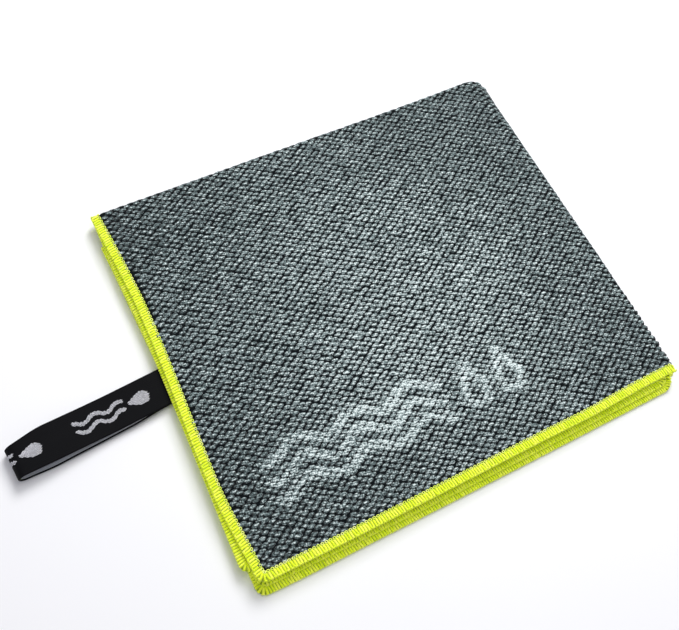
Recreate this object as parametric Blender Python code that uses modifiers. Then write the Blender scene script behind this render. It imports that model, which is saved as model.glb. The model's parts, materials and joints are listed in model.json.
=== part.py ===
"""Folded quick-dry towel with a hanging loop of elastic, in metres, +Z up.

The towel is one sheet, folded in half twice. The first fold is its back edge, the second
its right edge, so the four raw edges, bound with overlock stitching, lie at the left and front.
The origin is under the middle of the whole object, on the surface that it lies on.
"""

import math

import bmesh
import bpy
from mathutils import Matrix, Vector

# Cloth, edging and elastic
CLOTH_THICK = 0.0021
LAYER_GAP = 0.0003
FIT_GAP = 0.0003
HEM_WIDTH = 0.0046
HEM_ROUNDING = 0.0008
ELASTIC_WIDTH = 0.020
ELASTIC_THICK = 0.0011
TAIL_THICK = 0.0015
TACK_SIZE = (0.0016, 0.017, 0.00035)

# The folded towel: the top layer without its edging, and what reaches past it
FOLDED_WIDTH = 0.2528
FOLDED_DEPTH = 0.2135
LOOP_REACH = 0.0883
FRONT_REACH = 0.0121
LOWER_FOLD_INSET = 0.0175
INNER_FOLD_INSET = 0.003
CORNER_RADIUS = 0.008

# The hanging loop
LOOP_MIDDLE = 0.1064
LOOP_HINGE_OUT = 0.009
LOOP_SKEW_DEG = 4.0
LOOP_START = 0.0012
LOOP_TOP = 0.0083
LOOP_JOINED = 0.021
SINK_SHARE = 0.55
SINK_LENGTH = 0.6
PLY_HALF = ELASTIC_THICK / 2
LOOP_POINTS = 14
TIP_POINTS = 9
ARC_POINTS = 12

LEVEL = CLOTH_THICK + LAYER_GAP
PILE = 3 * LEVEL + CLOTH_THICK
LOOP_LENGTH = LOOP_REACH - LOOP_HINGE_OUT
SKEW = math.radians(LOOP_SKEW_DEG)
TIP_CORNER = LOOP_LENGTH * math.cos(SKEW) + ELASTIC_WIDTH / 2 * math.sin(SKEW)
LEFT = -(FOLDED_WIDTH - LOOP_HINGE_OUT - TIP_CORNER) / 2
RIGHT = LEFT + FOLDED_WIDTH
FRONT = -(FOLDED_DEPTH - FRONT_REACH) / 2
BACK = FRONT + FOLDED_DEPTH
TIGHT_RADIUS = (2 * CLOTH_THICK + LAYER_GAP) / 2
HINGE_X = RIGHT - PILE / 2
HINGE_Z = PILE / 2
INNER_FOLD_X = HINGE_X - INNER_FOLD_INSET
LOOP_HINGE_X = LEFT - LOOP_HINGE_OUT
LOOP_Z = LEVEL + CLOTH_THICK / 2
LOOP_Y = FRONT + LOOP_MIDDLE

# How far each layer's edging reaches past the top layer's cloth: on the left side at its back
# and front ends, and on the front side at its left and right ends. The lower layers show.
LAYERS = {
    "bottom": {"level": 0, "left": (0.0052, 0.0069), "front": (0.0100, 0.0121)},
    "second": {"level": 1, "left": (0.0056, 0.0048), "front": (0.0065, 0.0090)},
    "third": {"level": 2, "left": (0.0040, 0.0096), "front": (-0.0030, 0.0038)},
    "top": {"level": 3, "left": (0.0046, 0.0052), "front": (0.0054, 0.0051)},
}

COLOURS = {
    "cloth": ((0.19, 0.23, 0.25, 1), 0.95),
    "edging": ((0.66, 0.95, 0.02, 1), 0.7),
    "elastic": ((0.012, 0.012, 0.015, 1), 0.75),
    "thread": ((0.02, 0.02, 0.025, 1), 0.8),
}


def clear_scene():
    for obj in list(bpy.data.objects):
        bpy.data.objects.remove(obj, do_unlink=True)


def make_collection(name):
    collection = bpy.data.collections.new(name)
    bpy.context.scene.collection.children.link(collection)
    return collection


def make_material(name, kind):
    colour, roughness = COLOURS[kind]
    material = bpy.data.materials.new(name)
    material.use_nodes = True
    shader = material.node_tree.nodes["Principled BSDF"]
    shader.inputs["Base Color"].default_value = colour
    shader.inputs["Roughness"].default_value = roughness
    shader.inputs["Metallic"].default_value = 0
    return material


def add_piece(name, mesh, kind, matrix, parent=None):
    """Puts a mesh in the towel's collection as one named piece with its own material."""
    mesh.name = name
    mesh.materials.clear()
    mesh.materials.append(make_material(name, kind))
    piece = bpy.data.objects.new(name, mesh)
    towel.objects.link(piece)
    if parent:
        piece.parent = parent
        matrix = Matrix.Translation(-parent.location) @ matrix
    piece.matrix_local = matrix
    return piece


def add_pivot(name, place):
    """An empty on a joint's axis, which holds the pieces that turn there."""
    pivot = bpy.data.objects.new(name, None)
    pivot.location = place
    pivot.empty_display_size = 0.01
    towel.objects.link(pivot)
    return pivot


def extruded(name, outlines, length, matrix, kind, parent=None):
    """A flat outline, with any holes, given its length along the matrix's Z axis."""
    curve = bpy.data.curves.new(name, "CURVE")
    curve.dimensions = "2D"
    curve.fill_mode = "BOTH"
    curve.extrude = length / 2
    for outline in outlines:
        spline = curve.splines.new("POLY")
        spline.points.add(len(outline) - 1)
        for point, (x, y) in zip(spline.points, outline):
            point.co = (x, y, 0, 1)
        spline.use_cyclic_u = True
    guide = bpy.data.objects.new(name + "_outline", curve)
    towel.objects.link(guide)
    graph = bpy.context.evaluated_depsgraph_get()
    mesh = bpy.data.meshes.new_from_object(guide.evaluated_get(graph))
    bpy.data.objects.remove(guide)
    solid = bmesh.new()
    solid.from_mesh(mesh)
    bmesh.ops.remove_doubles(solid, verts=solid.verts, dist=1e-6)
    bmesh.ops.recalc_face_normals(solid, faces=solid.faces)
    solid.to_mesh(mesh)
    solid.free()
    return add_piece(name, mesh, kind, matrix, parent)


def arc(centre, radius, start, end, count=ARC_POINTS):
    """Points on an arc, from one angle to another in degrees."""
    points = []
    for step in range(count + 1):
        angle = math.radians(start + (end - start) * step / count)
        points.append((centre[0] + radius * math.cos(angle), centre[1] + radius * math.sin(angle)))
    return points


def mix(pair, share):
    return pair[0] + (pair[1] - pair[0]) * share


def smooth(share):
    """A share from 0 to 1 with a gentle start and end."""
    share = min(1, max(0, share))
    return share * share * (3 - 2 * share)


def low_of(layer):
    return LAYERS[layer]["level"] * LEVEL


def right_end(layer):
    """Where a layer's cloth stops and its right fold starts."""
    return (HINGE_X if layer in ("bottom", "top") else INNER_FOLD_X) - FIT_GAP


def back_end(layer):
    """Where a layer's cloth stops and its back fold starts."""
    inset = LOWER_FOLD_INSET if LAYERS[layer]["level"] < 2 else 0
    return BACK - inset - TIGHT_RADIUS


def left_edge(layer, y):
    """The outer edge of a layer's left edging, at a place along its side."""
    share = (BACK - y) / FOLDED_DEPTH
    return LEFT - mix(LAYERS[layer]["left"], share)


def front_edge(layer, x):
    """The outer edge of a layer's front edging, at a place along its side."""
    share = (x - LEFT) / FOLDED_WIDTH
    return FRONT - mix(LAYERS[layer]["front"], share)


def cloth_layer(layer, parent=None):
    """One layer of cloth, inside its edging, with a round corner where its two folds meet."""
    inset = HEM_WIDTH + FIT_GAP
    back, right = back_end(layer), right_end(layer)
    left_back = left_edge(layer, back) + inset
    left_front = left_edge(layer, FRONT) + inset
    corner = arc((right - CORNER_RADIUS, back - CORNER_RADIUS), CORNER_RADIUS, 0, 90)
    outline = [
        (left_front, front_edge(layer, left_front) + inset),
        (right, front_edge(layer, right) + inset),
        *corner,
        (left_back, back),
    ]
    middle = low_of(layer) + CLOTH_THICK / 2
    place = Matrix.Translation((0, 0, middle))
    return extruded("cloth_" + layer, [outline], CLOTH_THICK, place, "cloth", parent)


def edging_bar(name, start, end, low, parent=None):
    """A bar of overlock edging, whose middle line runs from start to end."""
    run = Vector(end) - Vector(start)
    solid = bmesh.new()
    bmesh.ops.create_cube(solid, size=1)
    bmesh.ops.scale(solid, vec=(run.length, HEM_WIDTH, CLOTH_THICK), verts=solid.verts)
    mesh = bpy.data.meshes.new(name)
    solid.to_mesh(mesh)
    solid.free()
    middle = (Vector(start) + Vector(end)) / 2
    place = Matrix.Translation((middle.x, middle.y, low + CLOTH_THICK / 2))
    turn = Matrix.Rotation(math.atan2(run.y, run.x), 4, "Z")
    bar = add_piece(name, mesh, "edging", place @ turn, parent)
    bevel = bar.modifiers.new("Rounded", "BEVEL")
    bevel.width = HEM_ROUNDING
    bevel.segments = 2
    return bar


def left_edging(layer, front_y, back_y, suffix="", parent=None):
    half = HEM_WIDTH / 2
    start = (left_edge(layer, front_y) + half, front_y)
    end = (left_edge(layer, back_y) + half, back_y)
    return edging_bar("overlock_left_" + layer + suffix, start, end, low_of(layer), parent)


def front_edging(layer, right_x, parent=None):
    half = HEM_WIDTH / 2
    left_x = left_edge(layer, FRONT)
    start = (left_x, front_edge(layer, left_x) + half)
    end = (right_x, front_edge(layer, right_x) + half)
    return edging_bar("overlock_front_" + layer, start, end, low_of(layer), parent)


def half_round(radius):
    """The section of a tight fold: two layers pressed together at the turn."""
    return [arc((0, 0), radius, -90, 90)]


def half_ring(outer, inner):
    """The section of a fold that wraps round other layers."""
    return [arc((0, 0), outer, -90, 90) + arc((0, 0), inner, 90, -90)]


def fold_along_y(name, section, x, z, front_y, back_y, kind, parent=None):
    turn = Matrix(((1, 0, 0, 0), (0, 0, -1, 0), (0, 1, 0, 0), (0, 0, 0, 1)))
    place = Matrix.Translation((x, (front_y + back_y) / 2, z))
    return extruded(name, section, back_y - front_y, place @ turn, kind, parent)


def fold_along_x(name, section, y, z, left_x, right_x, kind, parent=None):
    turn = Matrix(((0, 0, 1, 0), (1, 0, 0, 0), (0, 1, 0, 0), (0, 0, 0, 1)))
    place = Matrix.Translation(((left_x + right_x) / 2, y, z))
    return extruded(name, section, right_x - left_x, place @ turn, kind, parent)


def make_layer(layer, parent=None):
    """A layer's cloth and front edging, and its left edging where no elastic crosses it."""
    cloth_layer(layer, parent)
    front_edging(layer, right_end(layer), parent)
    front_y = front_edge(layer, left_edge(layer, FRONT)) + HEM_WIDTH + FIT_GAP
    back_y = back_end(layer)
    if layer != "second":
        left_edging(layer, front_y, back_y, "", parent)
        return
    half = ELASTIC_WIDTH / 2 + FIT_GAP
    left_edging(layer, front_y, LOOP_Y - half, "_front")
    left_edging(layer, LOOP_Y + half, back_y, "_back")


def make_back_fold(name, lower, upper, parent=None):
    """The back fold of two neighbouring layers, and the turn of their left edging."""
    y = back_end(lower) + FIT_GAP
    z = low_of(upper) - LAYER_GAP / 2
    section = half_round(TIGHT_RADIUS - FIT_GAP)
    left = left_edge(lower, y)
    seam = left + HEM_WIDTH
    right = INNER_FOLD_X - CORNER_RADIUS
    fold_along_x("back_fold_" + name, section, y, z, seam + FIT_GAP, right, "cloth", parent)
    turn_name = "overlock_left_turn_" + name
    fold_along_x(turn_name, section, y, z, left, seam, "edging", parent)


def make_right_folds():
    """The folds at the right edge, one inside the other, and the turns of the front edging."""
    wrap = half_ring(PILE / 2 - 0.00005, PILE / 2 - CLOTH_THICK)
    tight = half_round(TIGHT_RADIUS)
    back = back_end("bottom") - CORNER_RADIUS
    for name, section, x, lower, upper in (
        ("outer", wrap, HINGE_X, "bottom", "top"),
        ("inner", tight, INNER_FOLD_X, "second", "third"),
    ):
        front = front_edge(lower, x)
        seam = front_edge(upper, x) + HEM_WIDTH
        fold_along_y("right_fold_" + name, section, x, HINGE_Z, seam + FIT_GAP, back, "cloth")
        turn_name = "overlock_front_turn_" + name
        fold_along_y(turn_name, section, x, HINGE_Z, front, seam, "edging")


def loop_height(out):
    """How far each ply's middle line is above and below the seam, at a distance out from it."""
    open_share = smooth((out - LOOP_JOINED) / (LOOP_LENGTH - LOOP_JOINED))
    sink_share = SINK_SHARE * smooth(out / (SINK_LENGTH * LOOP_LENGTH))
    up = PLY_HALF + (LOOP_TOP - LOOP_Z - 2 * PLY_HALF) * open_share
    down = PLY_HALF + (LOOP_Z - 2 * PLY_HALF) * max(sink_share, open_share)
    return up, down


def ply_lines():
    """The middle lines of the upper and lower plies, from the seam to the tip's round end."""
    radius = sum(loop_height(LOOP_LENGTH)) / 2
    last = LOOP_LENGTH - radius - PLY_HALF
    upper, lower = [], []
    for step in range(LOOP_POINTS + 1):
        out = LOOP_START + (last - LOOP_START) * step / LOOP_POINTS
        rise, fall = loop_height(out)
        upper.append((-out, rise))
        lower.append((-out, -fall))
    return upper, lower


def shifted(points, by):
    return [(x, y + by) for x, y in points]


def elastic_loop(parent):
    """The loop of elastic: two plies that part towards a round tip, with an eye between them."""
    upper, lower = ply_lines()
    (tip_x, top), (_, bottom) = upper[-1], lower[-1]
    centre, radius = (tip_x, (top + bottom) / 2), (top - bottom) / 2
    outside = shifted(upper, PLY_HALF) + arc(centre, radius + PLY_HALF, 90, 270, TIP_POINTS)[1:-1]
    outside += shifted(lower, -PLY_HALF)[::-1]
    apart = [i for i in range(len(upper)) if upper[i][1] - lower[i][1] > 2 * PLY_HALF + FIT_GAP]
    inside = shifted([upper[i] for i in apart], -PLY_HALF)
    inside += arc(centre, radius - PLY_HALF, 90, 270, TIP_POINTS)[1:-1]
    inside += shifted([lower[i] for i in apart], PLY_HALF)[::-1]
    turn = Matrix(((1, 0, 0, 0), (0, 0, -1, 0), (0, 1, 0, 0), (0, 0, 0, 1)))
    skew = Matrix.Rotation(SKEW, 4, "Z")
    place = Matrix.Translation(parent.location) @ skew @ turn
    extruded("elastic_loop", [outside, inside], ELASTIC_WIDTH, place, "elastic", parent)


def box_mesh(size):
    solid = bmesh.new()
    bmesh.ops.create_cube(solid, size=1)
    bmesh.ops.scale(solid, vec=size, verts=solid.verts)
    mesh = bpy.data.meshes.new("box")
    solid.to_mesh(mesh)
    solid.free()
    return mesh


def elastic_tail():
    """The loop's two ends, pressed together and caught in the second layer's left edging."""
    inner = left_edge("second", LOOP_Y) + HEM_WIDTH
    outer = LOOP_HINGE_X + ELASTIC_THICK + FIT_GAP
    low = LEVEL + 0.0001
    place = Matrix.Translation(((inner + outer) / 2, LOOP_Y, low + TAIL_THICK / 2))
    size = (inner - outer, ELASTIC_WIDTH, TAIL_THICK)
    add_piece("elastic_tail", box_mesh(size), "elastic", place)
    tack_x = inner - HEM_WIDTH / 2
    tack_z = low + TAIL_THICK + LAYER_GAP / 2 + TACK_SIZE[2] / 2
    place = Matrix.Translation((tack_x, LOOP_Y, tack_z))
    add_piece("bar_tack", box_mesh(TACK_SIZE), "thread", place)


def build():
    hinge = add_pivot("right_fold_hinge", (HINGE_X, 0, HINGE_Z))
    loop_hinge = add_pivot("loop_hinge", (LOOP_HINGE_X, LOOP_Y, LOOP_Z))
    for layer in LAYERS:
        make_layer(layer, hinge if LAYERS[layer]["level"] > 1 else None)
    make_back_fold("lower", "bottom", "second")
    make_back_fold("upper", "third", "top", hinge)
    make_right_folds()
    elastic_tail()
    elastic_loop(loop_hinge)


clear_scene()
towel = make_collection("quick_dry_towel")
build()
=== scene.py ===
import json
import math

import bmesh
import bpy
import numpy as np
from mathutils import Matrix, Vector


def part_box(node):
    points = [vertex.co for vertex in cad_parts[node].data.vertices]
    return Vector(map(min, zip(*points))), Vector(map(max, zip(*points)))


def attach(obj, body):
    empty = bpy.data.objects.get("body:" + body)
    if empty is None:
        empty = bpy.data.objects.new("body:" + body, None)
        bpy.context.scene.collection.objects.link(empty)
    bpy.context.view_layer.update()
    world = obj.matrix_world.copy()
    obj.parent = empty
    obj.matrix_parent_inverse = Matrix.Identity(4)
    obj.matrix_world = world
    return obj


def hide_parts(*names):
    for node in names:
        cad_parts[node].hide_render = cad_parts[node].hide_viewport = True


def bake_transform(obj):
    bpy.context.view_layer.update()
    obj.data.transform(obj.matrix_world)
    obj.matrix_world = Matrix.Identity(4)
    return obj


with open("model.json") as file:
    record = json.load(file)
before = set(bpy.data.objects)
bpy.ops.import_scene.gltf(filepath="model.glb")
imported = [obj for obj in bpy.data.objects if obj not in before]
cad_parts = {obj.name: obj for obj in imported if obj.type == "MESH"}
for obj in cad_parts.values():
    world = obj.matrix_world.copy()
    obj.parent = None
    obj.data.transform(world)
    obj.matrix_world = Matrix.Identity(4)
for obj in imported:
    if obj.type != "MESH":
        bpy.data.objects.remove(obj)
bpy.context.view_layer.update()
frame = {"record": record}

mm = 0.001

print("towel: camera")
cameraSetup = {
    "place": (-0.1210, -0.1421, 0.4279),
    "right": (0.8802, -0.4590, 0.1211),
    "up": (0.3779, 0.8318, 0.4065),
    "lens": 45.23,
    "sensor": 36.0,
}


def makeCamera():
    right = Vector(cameraSetup["right"]).normalized()
    up = Vector(cameraSetup["up"])
    up = (up - right * up.dot(right)).normalized()
    back = right.cross(up)
    data = bpy.data.cameras.new("camera")
    data.sensor_fit = "HORIZONTAL"
    data.sensor_width = cameraSetup["sensor"]
    data.lens = cameraSetup["lens"]
    data.clip_start = 0.01
    camera = bpy.data.objects.new("camera", data)
    turn = Matrix((right, up, back)).transposed().to_4x4()
    camera.matrix_world = Matrix.Translation(Vector(cameraSetup["place"])) @ turn
    bpy.context.scene.collection.objects.link(camera)
    bpy.context.scene.camera = camera


makeCamera()


def linearColour(hexCode, alpha=1.0):  # sRGB hex to the linear values the shader wants
    values = [int(hexCode[i:i + 2], 16) / 255 for i in (1, 3, 5)]
    linear = [v / 12.92 if v <= 0.04045 else ((v + 0.055) / 1.055) ** 2.4 for v in values]
    return (*linear, alpha)


def addNode(tree, kind, settings=None, links=None):
    # a setting is the node's own or a socket's value; a link takes a socket, a node or a plain value
    node = tree.nodes.new(kind)
    for key, value in (settings or {}).items():
        if key == "stops":
            while len(node.color_ramp.elements) < len(value):
                node.color_ramp.elements.new(0.5)
            for element, (place, colour) in zip(node.color_ramp.elements, value):
                element.position = place
                element.color = linearColour(colour)
        elif isinstance(key, str) and hasattr(node, key):
            setattr(node, key, value)
        else:
            node.inputs[key].default_value = value
    for key, source in (links or {}).items():
        if isinstance(source, bpy.types.Node):
            source = source.outputs[0]
        if isinstance(source, bpy.types.NodeSocket):
            tree.links.new(source, node.inputs[key])
        else:
            node.inputs[key].default_value = source
    return node


def smoothStep(t):
    t = np.clip(t, 0, 1)
    return t * t * (3 - 2 * t)


def lerp(a, b, t):
    return a + (b - a) * t


def profileOf(pairs):  # smooth reading of a short list of (place, value)
    places = np.array([p[0] for p in pairs], float)
    values = np.array([p[1] for p in pairs], float)
    order = np.argsort(places)
    places, values = places[order], values[order]
    slopes = np.gradient(values, places) if len(places) > 2 else np.zeros(len(places))

    def read(where):
        where = np.clip(np.asarray(where, float), places[0], places[-1])
        k = np.clip(np.searchsorted(places, where) - 1, 0, len(places) - 2)
        gap = places[k + 1] - places[k]
        t = (where - places[k]) / gap
        h = t * t * (3 - 2 * t)
        return (values[k] * (1 - h) + values[k + 1] * h
                + slopes[k] * gap * t * (1 - t) ** 2 - slopes[k + 1] * gap * t * t * (1 - t))

    return read


def meshObject(name, vertices, faces, edges=(), smooth=True):
    mesh = bpy.data.meshes.new(name)
    mesh.from_pydata([tuple(v) for v in vertices], list(edges), [tuple(f) for f in faces])
    if smooth and len(faces):
        mesh.shade_smooth()
    mesh.update()
    made = bpy.data.objects.new(name, mesh)
    bpy.context.scene.collection.objects.link(made)
    return made


def addVectors(mesh, name, values):
    layer = mesh.attributes.new(name, "FLOAT_VECTOR", "POINT")
    layer.data.foreach_set("vector", np.asarray(values, np.float32).ravel())


def closeNormals(piece):  # all faces of a closed shell turned outwards
    shape = bmesh.new()
    shape.from_mesh(piece.data)
    bmesh.ops.recalc_face_normals(shape, faces=shape.faces)
    if shape.calc_volume(signed=True) < 0:
        bmesh.ops.reverse_faces(shape, faces=shape.faces)
    shape.to_mesh(piece.data)
    shape.free()


def jointPlace(name):  # where a joint's axis lies, in millimetres
    joint = next(j for j in frame["record"]["behaviour"]["joints"] if j["name"] == name)
    return [c / mm for c in joint["pos_m"]]


# every place on the folded stack is first given in panel millimetres, from the top layer's
# front left corner: x to the right, y to the back, z up from the floor
stack = {
    "left": jointPlace("right_fold")[0] - 248.15,
    "front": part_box("overlock_front_top")[1][1] / mm + 0.5,
    "height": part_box("cloth_top")[1][2] / mm,
    "plyMiddle": {"bottom": 1.12, "second": 3.45, "third": 5.85, "top": 8.25},
    "foldRadius": 1.2,          # of the middle of the cloth at both back folds
    "turnSurface": 1.9,         # and of the knit's own face on them
    "lowerBack": 193.75,        # where the straight part of the lower half ends
    "upperBack": 211.25,
    "outerEnd": 248.15,         # where bottom and top layers meet the right fold
    "innerEnd": 245.15,         # and the two layers between them
    "foldLead": 2.6,            # flat strip of each layer that belongs to the right fold
    "clothThick": 1.05,         # of the closed cloth under its lumps
    "innerBulge": 3.6,          # the inner fold is looser than a tight half round
}
softness = {
    "wave": 0.20, "waveLeft": -12, "waveRight": 246,       # low waves, none at the edges
    "droop": 1.0, "droopFrom": 190, "droopOver": 24,       # sag where nothing is underneath
    "cornerRadius": 11.0, "cornerRight": 252.8, "cornerFrom": 150, "cornerOver": 46,
    "lean": 6.5, "leanFrom": 205, "leanOver": 45,          # the right fold leans inwards
    "leanDepth": 90, "leanTop": 0.86, "leanFull": 0.34,    # at its front foot, not at its top
}
hem = {"width": 4.6, "height": 2.1, "cornerTurn": 3.2, "pitch": 2.2}
clothHalf = 0.52

# outer edges of the hems, as (place along the edge, reach)
leftEdges = {
    "bottom": profileOf([(194, -5.5), (150, -5.2), (104, -4.9), (60, -5.2), (20, -6.6), (-9, -7.0)]),
    "second": profileOf([(194, -6.0), (152, -4.8), (104, -4.9), (50, -5.2), (-8, -5.2)]),
    "third": profileOf([(211, -4.4), (170, -5.2), (140, -4.9), (104, -5.9), (70, -7.2), (38, -8.6),
                        (20, -9.4), (3, -10.0)]),
    "top": profileOf([(211, -4.7), (185, -3.4), (152, -2.4), (125, -3.1), (104, -4.1), (70, -6.1),
                      (38, -7.1), (20, -6.2), (0, -5.1), (-6, -4.8)]),
}
frontEdges = {
    "bottom": profileOf([(-8, -9.6), (0, -10.0), (60, -11.0), (125, -11.6), (248, -12.1)]),
    "second": profileOf([(-8, -6.2), (0, -6.5), (60, -8.0), (125, -8.9), (248, -9.0)]),
    "third": profileOf([(-11, 3.0), (30, 2.2), (125, -0.8), (200, -3.0), (248, -3.8)]),
    "top": profileOf([(-6, -5.1), (0, -5.1), (40, -5.6), (100, -5.9), (160, -5.9), (196, -6.1),
                      (212, -5.5), (226, -5.1), (248, -5.1)]),
}


def settle(points):  # the stack's own softness added, and the row's metres given back
    p = np.array(points, float)
    x, y, z = p[..., 0].copy(), p[..., 1].copy(), p[..., 2].copy()
    soft = softness
    rise = z / stack["height"]
    inside = smoothStep((soft["waveRight"] - x) / 30) * smoothStep((x - soft["waveLeft"]) / 20)
    wave = np.sin(x / 41 + 0.6) * np.sin(y / 37 + 1.9) + 0.6 * np.sin(x / 19 + y / 27 + 0.4)
    over = smoothStep((y - soft["droopFrom"]) / soft["droopOver"])
    over = over * smoothStep(z - 4.2) * smoothStep((250 - x) / 40)  # the upper half, short of its fold
    z = z + soft["wave"] * wave * rise * inside - soft["droop"] * over
    near = smoothStep((y - soft["cornerFrom"]) / soft["cornerOver"])
    radius = soft["cornerRadius"]
    past = np.clip(x - (soft["cornerRight"] - radius), 0, radius)
    y = y - near * (radius - np.sqrt(radius ** 2 - past ** 2))
    foot = smoothStep((soft["leanTop"] - rise) / soft["leanFull"])
    atFront = 1 - smoothStep((y + 10) / soft["leanDepth"])
    x = x - soft["lean"] * smoothStep((x - soft["leanFrom"]) / soft["leanOver"]) * atFront * foot
    return np.stack([x + stack["left"], y + stack["front"], z], -1) * mm


def halfGrid(half, inset, across=72, along=72, turn=8):
    # the middle of one folded half, from the front of its outer layer round the back fold
    outer, inner = ("bottom", "second") if half == "lower" else ("top", "third")
    back = stack["lowerBack"] if half == "lower" else stack["upperBack"]
    zOuter, zInner = stack["plyMiddle"][outer], stack["plyMiddle"][inner]
    s = np.linspace(0, 1, across + 1)
    rows = [(outer, step, 0.0) for step in np.linspace(0, 1, along + 1)]
    rows += [("turn", 1.0, step) for step in np.linspace(0, 1, turn + 1)[1:-1]]
    rows += [(inner, step, 1.0) for step in np.linspace(1, 0, along + 1)]
    bend = math.pi * stack["turnSurface"]
    points = []
    flat = []
    for layer, step, turned in rows:
        ends = []
        for name, end in ((outer, "outerEnd"), (inner, "innerEnd")):
            right = stack[end] - stack["foldLead"]
            y = lerp(frontEdges[name](0) + inset[1], back, step)
            left = leftEdges[name](y) + inset[0]
            x = lerp(left, right, s)
            y = lerp(frontEdges[name](x) + inset[1], back, step)
            ends.append((x, y))
        share = {outer: 0.0, inner: 1.0}.get(layer, turned)
        x = lerp(ends[0][0], ends[1][0], share)
        y = lerp(ends[0][1], ends[1][1], share)
        z = np.full_like(x, lerp(zOuter, zInner, share))
        v = y.copy()
        if layer == "turn":
            angle = math.pi * turned
            y = y + stack["foldRadius"] * math.sin(angle)
            z = np.full_like(x, (zOuter + zInner) / 2 + (zOuter - zInner) / 2 * math.cos(angle))
            v = back + bend * turned + 0 * x
        if layer == inner:
            v = 2 * back + bend - y
        points.append(np.stack([x, y, z], -1))
        flat.append(np.stack([x, v], -1))
    return np.array(points), np.array(flat)


def foldGrid(part, inset, around=18, along=70, turn=10):
    # the cloth that wraps the right edge: the outer ply with its curl at the back, or the inner
    zHinge = stack["height"] / 2
    radii = (zHinge - stack["plyMiddle"]["bottom"], zHinge - stack["plyMiddle"]["second"])
    if part == "outer":
        rows = [(step, 0.0) for step in np.linspace(0, 1, along + 1)]
        rows += [(1.0, step) for step in np.linspace(0, 1, turn + 1)[1:]]
    else:
        rows = [(step, 1.0) for step in np.linspace(0, 1, along + 1)]
    angles = np.linspace(-math.pi / 2, math.pi / 2, around + 1)
    angles = np.concatenate([angles[:1], angles, angles[-1:]])
    lead = np.zeros(around + 3)
    lead[[0, -1]] = stack["foldLead"]
    up = (np.sin(angles) + 1) / 2
    pair = ("bottom", "top") if part == "outer" else ("second", "third")
    front = lerp(frontEdges[pair[0]](stack["outerEnd"]), frontEdges[pair[1]](stack["outerEnd"]), up) + inset
    back = lerp(stack["lowerBack"], stack["upperBack"], up)
    points = []
    flat = []
    for step, turned in rows:
        curl = math.pi * turned
        radius = lerp(radii[0], radii[1], (1 - math.cos(curl)) / 2)
        middle = lerp(stack["outerEnd"], stack["innerEnd"], (1 - math.cos(curl)) / 2)
        y = lerp(front, back, step)
        v = y + turned * math.pi * stack["turnSurface"]
        if part == "outer":
            y = y + stack["foldRadius"] * math.sin(curl)
        bulge = stack["innerBulge"] if part == "inner" else lerp(1.0, stack["innerBulge"], turned)
        x = middle + radius * bulge * np.cos(angles) - lead
        z = zHinge + radius * np.sin(angles)
        points.append(np.stack([x, y, z], -1))
        arc = (math.pi / 2 - angles) * (radii[0] + stack["clothThick"]) - lead * np.sign(angles)
        flat.append(np.stack([stack["outerEnd"] + arc, v], -1))
    return np.array(points), np.array(flat)


def gridNormals(points):
    alongRows = np.gradient(points, axis=0)
    alongColumns = np.gradient(points, axis=1)
    normal = np.cross(alongColumns, alongRows)
    normal /= np.maximum(np.linalg.norm(normal, axis=-1, keepdims=True), 1e-12)
    tangent = alongColumns / np.maximum(np.linalg.norm(alongColumns, axis=-1, keepdims=True), 1e-12)
    return normal, tangent


def gridFaces(rows, columns, start=0, flip=False):
    faces = []
    for j in range(rows - 1):
        for i in range(columns - 1):
            a = start + j * columns + i
            quad = (a, a + 1, a + columns + 1, a + columns)
            faces.append(quad[::-1] if flip else quad)
    return faces


def clothShell(name, points, side, half):
    # a closed cloth of even thickness about the grid; side is the sign that gives the outer face
    placed = settle(points)
    normal, _ = gridNormals(placed)
    normal = normal * side
    rows, columns = placed.shape[:2]
    outer = (placed + normal * half * mm).reshape(-1, 3)
    inner = (placed - normal * half * mm).reshape(-1, 3)
    count = rows * columns
    faces = gridFaces(rows, columns) + gridFaces(rows, columns, count, True)
    rim = list(range(columns)) + [j * columns + columns - 1 for j in range(1, rows)]
    rim += [(rows - 1) * columns + i for i in range(columns - 2, -1, -1)]
    rim += [j * columns for j in range(rows - 2, 0, -1)]
    for k, a in enumerate(rim):
        b = rim[(k + 1) % len(rim)]
        faces.append((b, a, a + count, b + count))
    made = meshObject(name, np.concatenate([outer, inner]), faces)
    closeNormals(made)
    return made


def carrierSheet(name, points, flat, side, lift):
    # the outer face on its own, with flat places and directions for the knit to follow
    placed = settle(points)
    normal, tangent = gridNormals(placed)
    normal = normal * side
    rows, columns = placed.shape[:2]
    made = meshObject(name, (placed + normal * lift * mm).reshape(-1, 3), gridFaces(rows, columns))
    flatPlaces = np.concatenate([flat * mm, 0 * flat[..., :1]], -1)
    addVectors(made.data, "flatPlace", flatPlaces.reshape(-1, 3))
    addVectors(made.data, "outFrom", normal.reshape(-1, 3))
    addVectors(made.data, "along", tangent.reshape(-1, 3))
    return made


mathKind = "ShaderNodeMath"
vectorKind = "ShaderNodeVectorMath"


def newTree(name, sockets):
    tree = bpy.data.node_groups.new(name, "GeometryNodeTree")
    tree.interface.new_socket("Geometry", in_out="INPUT", socket_type="NodeSocketGeometry")
    for label, kind in sockets:
        tree.interface.new_socket(label, in_out="INPUT", socket_type="NodeSocket" + kind)
    tree.interface.new_socket("Geometry", in_out="OUTPUT", socket_type="NodeSocketGeometry")
    return tree, addNode(tree, "NodeGroupInput").outputs, addNode(tree, "NodeGroupOutput")


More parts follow.
